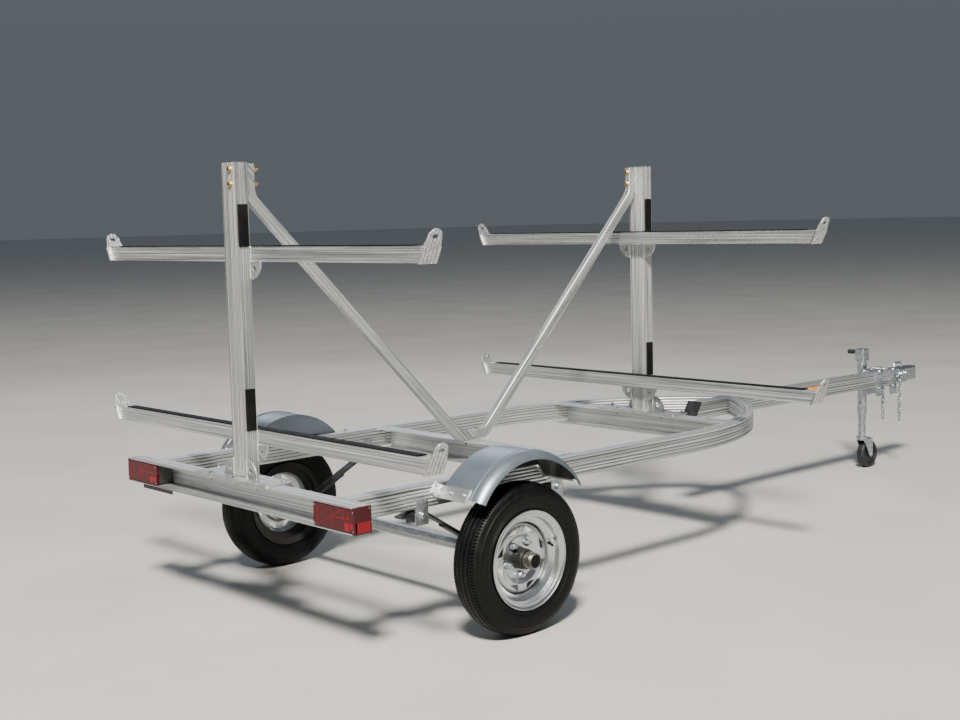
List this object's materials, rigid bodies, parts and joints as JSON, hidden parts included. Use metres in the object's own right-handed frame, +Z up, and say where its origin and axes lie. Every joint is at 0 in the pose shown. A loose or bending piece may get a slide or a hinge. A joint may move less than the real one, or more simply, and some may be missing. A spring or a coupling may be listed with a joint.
{
  "type": "small boat trailer",
  "caption": "Two-wheel trailer for light hulls: curved ribbed aluminium frame, masts with padded crossbars and leaning end plates, V brace, leaf springs, swivel jack on the tongue.",
  "frame": {"origin": "on the ground, midway along the trailer, on its centreline", "axes": "+X forward to the coupler, +Y left, +Z up"},
  "size_m": [4.452, 1.9966, 1.63],
  "materials": {
    "mill_aluminium": "mill finish, drawn tube",
    "galvanised_steel": "galvanised, spangled",
    "zinc_steel": "bright zinc plate",
    "black_steel": "satin black",
    "fender_silver": "satin silver",
    "tyre": "matte",
    "rubber": "matte",
    "black_plastic": "matte",
    "red_lens": "clear moulded",
    "amber_lens": "clear moulded"
  },
  "bodies": {
    "frame": {"rail_left": "mill_aluminium", "rail_right": "mill_aluminium", "rear_crossmember": "mill_aluminium", "middle_crossmember": "mill_aluminium", "front_crossmember": "mill_aluminium", "tongue": "mill_aluminium", "tongue_plug": "black_plastic", "mast_base_plates": "mill_aluminium", "masts": "mill_aluminium", "mast_gussets": "mill_aluminium", "crossbars": "mill_aluminium", "crossbar_end_plates": "mill_aluminium", "rubber_strips": "rubber", "mast_brace": "mill_aluminium", "axle": "galvanised_steel", "springs": "black_steel", "spring_hangers": "galvanised_steel", "spring_clamps": "zinc_steel", "fenders": "fender_silver", "fender_brackets": "mill_aluminium", "tail_lamp_lenses": "red_lens", "tail_lamp_bodies": "black_plastic", "number_plate_bracket": "black_plastic", "side_lamps": "amber_lens", "coupler": "zinc_steel", "coupler_latch": "zinc_steel", "chain_anchors": "zinc_steel", "safety_chains": "zinc_steel", "chain_hooks": "zinc_steel", "jack_bracket": "zinc_steel"},
    "wheel_left": {"tyre_left": "tyre", "rim_left": "galvanised_steel", "hub_left": "galvanised_steel"},
    "wheel_right": {"tyre_right": "tyre", "rim_right": "galvanised_steel", "hub_right": "galvanised_steel"},
    "jack_tube": {"jack_tube": "zinc_steel", "jack_crank": "zinc_steel", "jack_grip": "black_plastic"},
    "jack_leg": {"jack_leg": "zinc_steel"},
    "jack_caster": {"jack_fork": "zinc_steel"},
    "jack_wheel": {"jack_wheel": "black_plastic"}
  },
  "joints": [
    {"name": "wheel_left_spin", "type": "hinge", "parent": "frame", "child": "wheel_left", "pos_m": [-1.535, 0.717, 0.264], "axis": [0, 1, 0], "continuous": true},
    {"name": "wheel_right_spin", "type": "hinge", "parent": "frame", "child": "wheel_right", "pos_m": [-1.535, -0.717, 0.264], "axis": [0, 1, 0], "continuous": true},
    {"name": "jack_swivel", "type": "hinge", "parent": "frame", "child": "jack_tube", "pos_m": [1.882, 0.0605, 0.4905], "axis": [0, 1, 0], "range_deg": [0, 90]},
    {"name": "jack_lift", "type": "slide", "parent": "jack_tube", "child": "jack_leg", "axis": [0, 0, -1], "range_m": [-0.1, 0.15]},
    {"name": "jack_caster_swivel", "type": "hinge", "parent": "jack_leg", "child": "jack_caster", "pos_m": [1.882, 0.103, 0.17], "axis": [0, 0, 1], "continuous": true},
    {"name": "jack_wheel_spin", "type": "hinge", "parent": "jack_caster", "child": "jack_wheel", "pos_m": [1.932, 0.103, 0.076], "axis": [0, 1, 0], "continuous": true}
  ]
}
